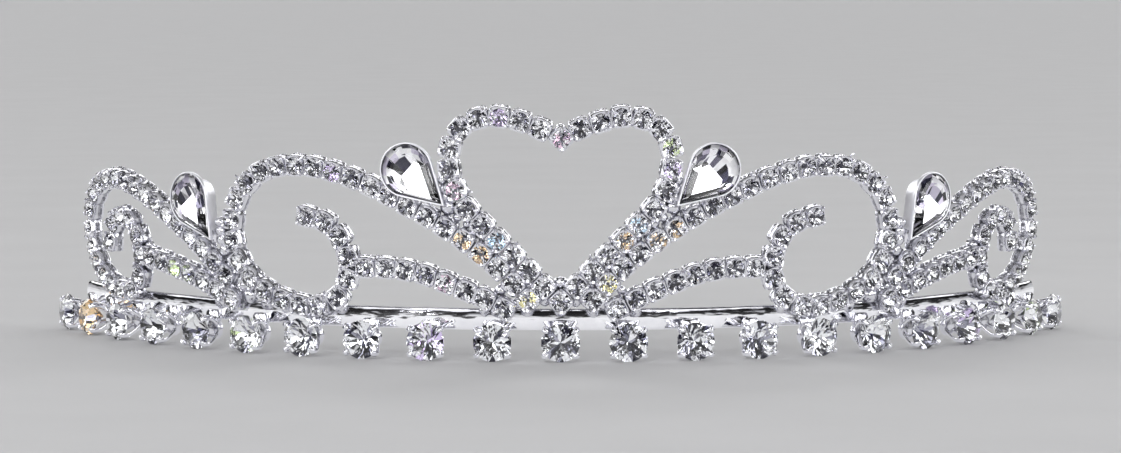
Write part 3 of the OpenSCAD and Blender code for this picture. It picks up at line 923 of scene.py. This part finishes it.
# Large stones with a flash colour painted on their foil: number, colour and how many facets
LARGE_SPARKS = {2: (ORANGE, 14), 6: (GREEN, 1), 9: (VIOLET, 2), 18: (VIOLET, 6), 20: (GREEN, 3)}


def large_stones():
    """The row of large stones, each a piece of its own."""
    cut, faces, kinds = brilliant(
        BASE_STONE_R, table=0.56, crown=BASE_CROWN, girdle=BASE_GIRDLE_H,
        pavilion=BASE_PAVILION, ring=0.82, low_ring=0.3)
    for i in range(1, BASE_COUNT + 1):
        jitter = random.Random(f"large {i}")
        stone = Shape()
        seat = (at_base_stone(i) @ Matrix.Translation((0, 0, BASE_GIRDLE))
                @ spin(180 / BASE_FACETS, "Z"))
        # Painted shade and any painted flash on the foil's facets
        tones = facet_tones(kinds, jitter, LARGE_DARK_EVERY, *LARGE_SPARKS.get(i, ()))
        stone.add(seat, cut, faces, kinds, tones)
        stone.build(f"large_stone_{i:02d}", [large_glass, foil], "large_stone",
                    [f"base_stone_{i:02d}"])


# Solder

# Cups of two chains that are closer than this get a drop between them
DROP_REACH = 4.4
# Least and greatest radius of those drops, and how far they stand out
DROP_R = (0.7, 1.0)
DROP_OUT = (0.7, 1.2)
# Cups lower than this get a drop where they meet the band
BAND_FOOT = 9.0
# The same sizes of those, how far they may shift along the band, and how far below its
# upper edge they lie
FOOT_DROP_R = (0.8, 1.2)
FOOT_DROP_OUT = (0.5, 0.8)
FOOT_DROP_SHIFT = 0.5
FOOT_DROP_DOWN = 0.3
# Least and greatest share of its radius at a drop's uneven edge, before it is smoothed
DROP_BENDS = (0.8, 1.15)
DROP_POINTS = 14
DROP_DIRT = 0.1
# A drop from the wall outwards: share of its radius, share of its height
DROP_PROFILE = [(1, -0.2), (1, 0.1), (0.86, 0.55), (0.55, 0.9), (0.15, 1)]
# Small holes that stay open beside the foot of the heart: along, height
OPEN_PLACES = [(6.9, 8.6), (9.2, 10.4)]
OPEN_R = 0.5
# Gaps that are filled with solder: along, height, radius, how far the fill stands out
FILLS = [
    (16, 23.9, 0.75, 1.9), (15.8, 22.8, 0.8, 1.8), (15.6, 21.7, 0.85, 1.6), (15.3, 20.3, 1.2, 1.3),
    (50.5, 17.4, 0.9, 2), (50.4, 16.2, 1, 1.9), (50.3, 15, 1.1, 1.7), (49.9, 13.7, 1.1, 1.5),
    (45.9, 7.5, 1.2, 0.9), (46.9, 8.8, 0.8, 0.9), (0, 10.3, 0.9, 1.1), (0, 30.9, 0.75, 1.3)]


def add_drop(shape, place, radius, height, jitter):
    """An uneven drop of solder on the wall."""
    n = DROP_POINTS
    bends = [jitter.uniform(*DROP_BENDS) for _ in range(n)]
    smoothed = [(bends[i - 1] + 2 * bends[i] + bends[(i + 1) % n]) / 4 for i in range(n)]
    rings = [[(x * bend, y * bend, z * height)
              for (x, y, _), bend in zip(circle(radius * share, 0, n), smoothed)]
             for share, z in DROP_PROFILE]
    shape.loft(place, rings, DROP_DIRT)


def near_touches(parts):
    """The middles between cups of two chains that nearly touch, apart from the open places."""
    for k, part in enumerate(parts):
        for other in parts[k + 1:]:
            for p in part:
                for q in other:
                    middle = ((p[0] + q[0]) / 2, (p[1] + q[1]) / 2)
                    stays_open = any(math.dist((abs(middle[0]), middle[1]), place) < OPEN_R
                                     for place in OPEN_PLACES)
                    if math.dist(p[:2], q[:2]) < DROP_REACH and not stays_open:
                        yield middle


def solder():
    """Bars at the joints, drops between neighbouring chains and at the band, and fills."""
    shape = Shape()
    jitter = random.Random("solder")
    for sign in (-1, 1):
        for start, end in SOLDER:
            add_link(shape, (sign * start[0], start[1]), (sign * end[0], end[1]))
    parts = [part for found in chains().values() for part in found]
    for along, height in near_touches(parts):
        add_drop(shape, on_wall(along, height), jitter.uniform(*DROP_R),
                 jitter.uniform(*DROP_OUT), jitter)
    for along, height, radius, out in FILLS:
        for sign in (-1, 1) if along else (1,):
            add_drop(shape, on_wall(sign * along, height), radius, out, jitter)
    foot_z = BAND_Z + BAND_H - FOOT_DROP_DOWN
    for part in parts:
        for along, height, _ in part:
            if height < BAND_FOOT:
                shifted = along + jitter.uniform(-FOOT_DROP_SHIFT, FOOT_DROP_SHIFT)
                add_drop(shape, on_wall(shifted, foot_z), jitter.uniform(*FOOT_DROP_R),
                         jitter.uniform(*FOOT_DROP_OUT), jitter)
    shape.build("solder_joints", [setting_metal], "metal", ["frame"], smooth_angle=50)


# Floor, light and camera, in metres

FLOOR_R = 9
# Glow over the floor, in watts per square metre and steradian, and its radius
CARD_GLOW = 0.35
CARD_R = 0.35
# Soft boxes: name, place, size, power
SOFT_BOXES = [
    ("key", (-0.5, -0.8, 0.75), (0.25, 0.2), 1.2), ("side", (0.9, -0.5, 0.3), (0.2, 0.15), 0.9)]
# Small lights that make the stones sparkle
SPARK_PLACES = [
    (-0.9, -0.5, 0.25), (-0.25, -1.0, 0.35), (0.3, -0.95, 0.6),
    (0.9, -0.2, 0.3), (0.45, -1.0, 0.2), (-0.6, -0.9, 0.12)]
SPARK_SIZE = (0.05, 0.05)
SPARK_POWER = 0.4
LIGHT_TARGET = (0, 0, 0.015)


def stage():
    """A plain pale floor."""
    bpy.ops.mesh.primitive_circle_add(vertices=96, radius=FLOOR_R, fill_type="NGON")
    floor = bpy.context.object
    floor.name = "floor"
    material, tree, shader = new_material("floor_paper")
    shade = patches(tree, scale=40, first=(0.45, 0.45, 0.46), second=(0.47, 0.47, 0.48), detail=4)
    tree.links.new(shade, shader.inputs["Base Color"])
    shader.inputs["Roughness"].default_value = 0.7
    floor.data.materials.append(material)


def area_light(name, place, size, power):
    data = bpy.data.lights.new(name, "AREA")
    data.shape = "RECTANGLE"
    data.size, data.size_y = size
    data.energy = power
    light = bpy.data.objects.new(name, data)
    light.location = place
    aim = Vector(LIGHT_TARGET) - Vector(place)
    light.rotation_euler = aim.to_track_quat("-Z", "Y").to_euler()
    bpy.context.scene.collection.objects.link(light)


def floor_card():
    """A glow over the floor that only the polished metal and the stones mirror."""
    data = bpy.data.lights.new("floor_card", "AREA")
    data.shape = "DISK"
    data.size = 2 * CARD_R
    data.energy = math.pi * math.pi * CARD_R ** 2 * CARD_GLOW
    card = bpy.data.objects.new("floor_card", data)
    card.location = (0, 0, 0.0005)
    card.rotation_euler = (math.pi, 0, 0)
    card.visible_camera = False
    bpy.context.scene.collection.objects.link(card)


def math_node(tree, operation, first, second=None):
    node = tree.nodes.new("ShaderNodeMath")
    node.operation = operation
    for socket, value in zip(node.inputs, (first, second)):
        if isinstance(value, (int, float)):
            socket.default_value = value
        elif value is not None:
            tree.links.new(value, socket)
    return node.outputs["Value"]


def studio_world():
    """A pale room seen directly. What the jewels mirror is dark, with two rings of soft
    boxes, one above the other and staggered, and a round one overhead."""
    panels, panel_light, top_light, dark_light = 6, 3.4, 0.5, 0.04
    room = (0.54, 0.54, 0.55, 1)
    world = bpy.data.worlds.new("studio")
    bpy.context.scene.world = world
    world.use_nodes = True
    tree = world.node_tree
    background = tree.nodes["Background"]
    coords = tree.nodes.new("ShaderNodeTexCoord")
    axes = tree.nodes.new("ShaderNodeSeparateXYZ")
    tree.links.new(coords.outputs["Generated"], axes.inputs["Vector"])
    x, y, z = axes.outputs
    turn = math_node(tree, "ARCTAN2", x, math_node(tree, "MULTIPLY", y, -1.0))
    flip = spread(tree, z, -1, 1, start=0.4, end=0.43)
    wave = math_node(tree, "MULTIPLY", math_node(
        tree, "COSINE", math_node(tree, "MULTIPLY", turn, float(panels))), flip)
    side = spread(tree, wave, 0, 1, start=-0.35, end=0.05)
    height = ramp(tree, z, [
        (0.18, (0, 0, 0)), (0.21, WHITE), (0.6, WHITE), (0.66, (0, 0, 0))])
    overhead = ramp(tree, z, [(0.84, (0, 0, 0)), (0.9, WHITE)])
    boxes = math_node(tree, "MULTIPLY", height, side)
    glow = math_node(tree, "ADD", math_node(tree, "MULTIPLY", boxes, panel_light),
                     math_node(tree, "MULTIPLY", overhead, top_light))
    glow = math_node(tree, "ADD", glow, dark_light)
    path = tree.nodes.new("ShaderNodeLightPath")
    shown = tree.nodes.new("ShaderNodeMix")
    shown.data_type = "RGBA"
    tree.links.new(path.outputs["Is Camera Ray"], shown.inputs["Factor"])
    tree.links.new(glow, shown.inputs[6])
    shown.inputs[7].default_value = room
    tree.links.new(shown.outputs[2], background.inputs["Color"])


def lights():
    for row in SOFT_BOXES:
        area_light(*row)
    for k, place in enumerate(SPARK_PLACES):
        area_light(f"spark_{k}", place, SPARK_SIZE, SPARK_POWER)
    sun = bpy.data.lights.new("sky_glow", "SUN")
    sun.energy = 0.35
    sun.angle = math.radians(30)
    glow = bpy.data.objects.new("sky_glow", sun)
    glow.rotation_euler = (math.radians(25), math.radians(-15), 0)
    bpy.context.scene.collection.objects.link(glow)
    floor_card()
    studio_world()


def camera():
    """The photograph's view: 600 mm in front of the wall's axis, tilted a little down."""
    distance, height, tilt = 600.0, 52.48, 3.766
    focal_pixels, image_width, sensor = 3973.5, 1121, 36.0
    data = bpy.data.cameras.new("camera")
    data.sensor_width = sensor
    data.sensor_fit = "HORIZONTAL"
    data.lens = focal_pixels / image_width * sensor
    data.clip_start, data.clip_end = 0.01, 50
    view = bpy.data.objects.new("camera", data)
    view.location = (0, (CENTRE_Y - distance) * MM, height * MM)
    view.rotation_euler = (math.radians(90 - tilt), 0, 0)
    bpy.context.scene.collection.objects.link(view)
    bpy.context.scene.camera = view


bpy.context.scene.view_settings.view_transform = "Standard"
camera()
stage()
lights()
band()
settings()
chain_pieces()
pear_pieces()
large_stones()
solder()
